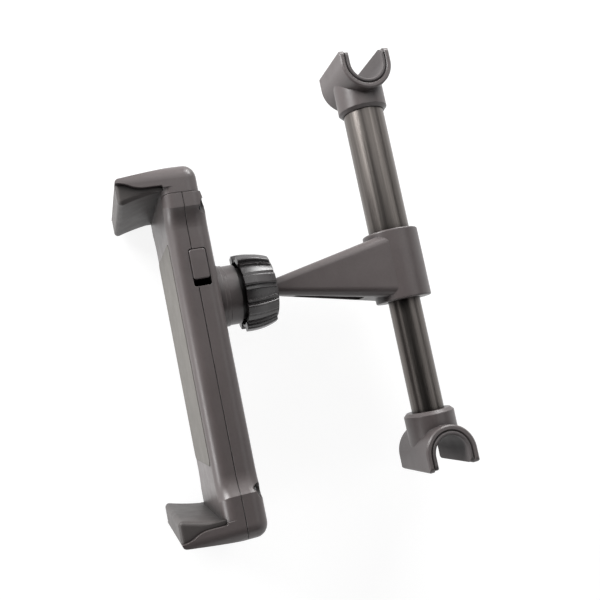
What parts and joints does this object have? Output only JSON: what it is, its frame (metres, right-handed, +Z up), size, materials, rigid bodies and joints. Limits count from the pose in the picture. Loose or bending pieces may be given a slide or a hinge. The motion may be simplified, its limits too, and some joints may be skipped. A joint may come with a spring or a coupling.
{
  "type": "headrest tablet mount",
  "caption": "Sprung telescopic rod with U hooks for headrest posts, a tapered arm with a ball joint and ribbed clamp nut, and a tablet holder with a spring-loaded jaw.",
  "frame": {"origin": "on the rod's axis, midway between the two headrest posts, at mid-height of the hooks", "axes": "+X along the rod towards the sliding hook, -Y towards the person who looks at the tablet, +Z up along the posts"},
  "size_m": [0.1967, 0.1343, 0.06],
  "materials": {
    "moulded_plastic": "satin dark grey moulding",
    "nut_plastic": "glossy black",
    "rod_metal": "satin gunmetal, drawn lengthwise",
    "liner_rubber": "matt dark grey",
    "pad_rubber": "matt dark olive grey",
    "panel_plastic": "matt olive grey",
    "bearing_plastic": "natural low-friction plastic",
    "spring_steel": "bright spring wire",
    "screw_steel": "zinc-plated"
  },
  "bodies": {
    "arm": {"support_arm": "moulded_plastic", "outer_tube": "rod_metal", "fixed_hook": "moulded_plastic", "fixed_hook_liner": "liner_rubber", "guide_bush": "bearing_plastic", "rod_spring": "spring_steel"},
    "telescopic_rod": {"inner_tube": "rod_metal", "inner_tube_plug": "bearing_plastic", "sliding_hook": "moulded_plastic", "sliding_hook_liner": "liner_rubber"},
    "ball_pad": {"friction_pad": "bearing_plastic"},
    "nut": {"clamp_nut": "nut_plastic"},
    "holder": {"ball_socket": "moulded_plastic", "socket_screws": "screw_steel", "rear_shell": "moulded_plastic", "front_shell": "moulded_plastic", "front_panel": "panel_plastic", "fixed_jaw_pad": "pad_rubber", "housing_screws": "screw_steel", "return_spring_upper": "spring_steel", "return_spring_lower": "spring_steel"},
    "jaw": {"sliding_jaw": "moulded_plastic", "sliding_jaw_pad": "pad_rubber"},
    "lock": {"lock_slider": "moulded_plastic"}
  },
  "joints": [
    {"name": "rod_slide", "type": "slide", "parent": "arm", "child": "telescopic_rod", "axis": [-1, 0, 0], "range_m": [0, 0.045], "stiffness_N_per_m": 1200, "springref_m": -0.012, "deforming": ["rod_spring"]},
    {"name": "ball_tilt", "type": "hinge", "parent": "arm", "child": "ball_pad", "pos_m": [0.0033, -0.0685, 0], "axis": [1, 0, 0], "range_deg": [-16, 16]},
    {"name": "ball_swing", "type": "hinge", "parent": "ball_pad", "child": "nut", "pos_m": [0.0033, -0.0685, 0], "axis": [0, 0, 1], "range_deg": [-16, 16]},
    {"name": "ball_spin", "type": "hinge", "parent": "nut", "child": "holder", "pos_m": [0.0033, -0.0685, 0], "axis": [0, 1, 0], "continuous": true},
    {"name": "jaw_slide", "type": "slide", "parent": "holder", "child": "jaw", "axis": [-1, 0, 0], "range_m": [0, 0.075], "stiffness_N_per_m": 160, "springref_m": -0.04, "deforming": ["return_spring_upper", "return_spring_lower"]},
    {"name": "lock_slide", "type": "slide", "parent": "holder", "child": "lock", "axis": [1, 0, 0], "range_m": [0, 0.0026]}
  ]
}
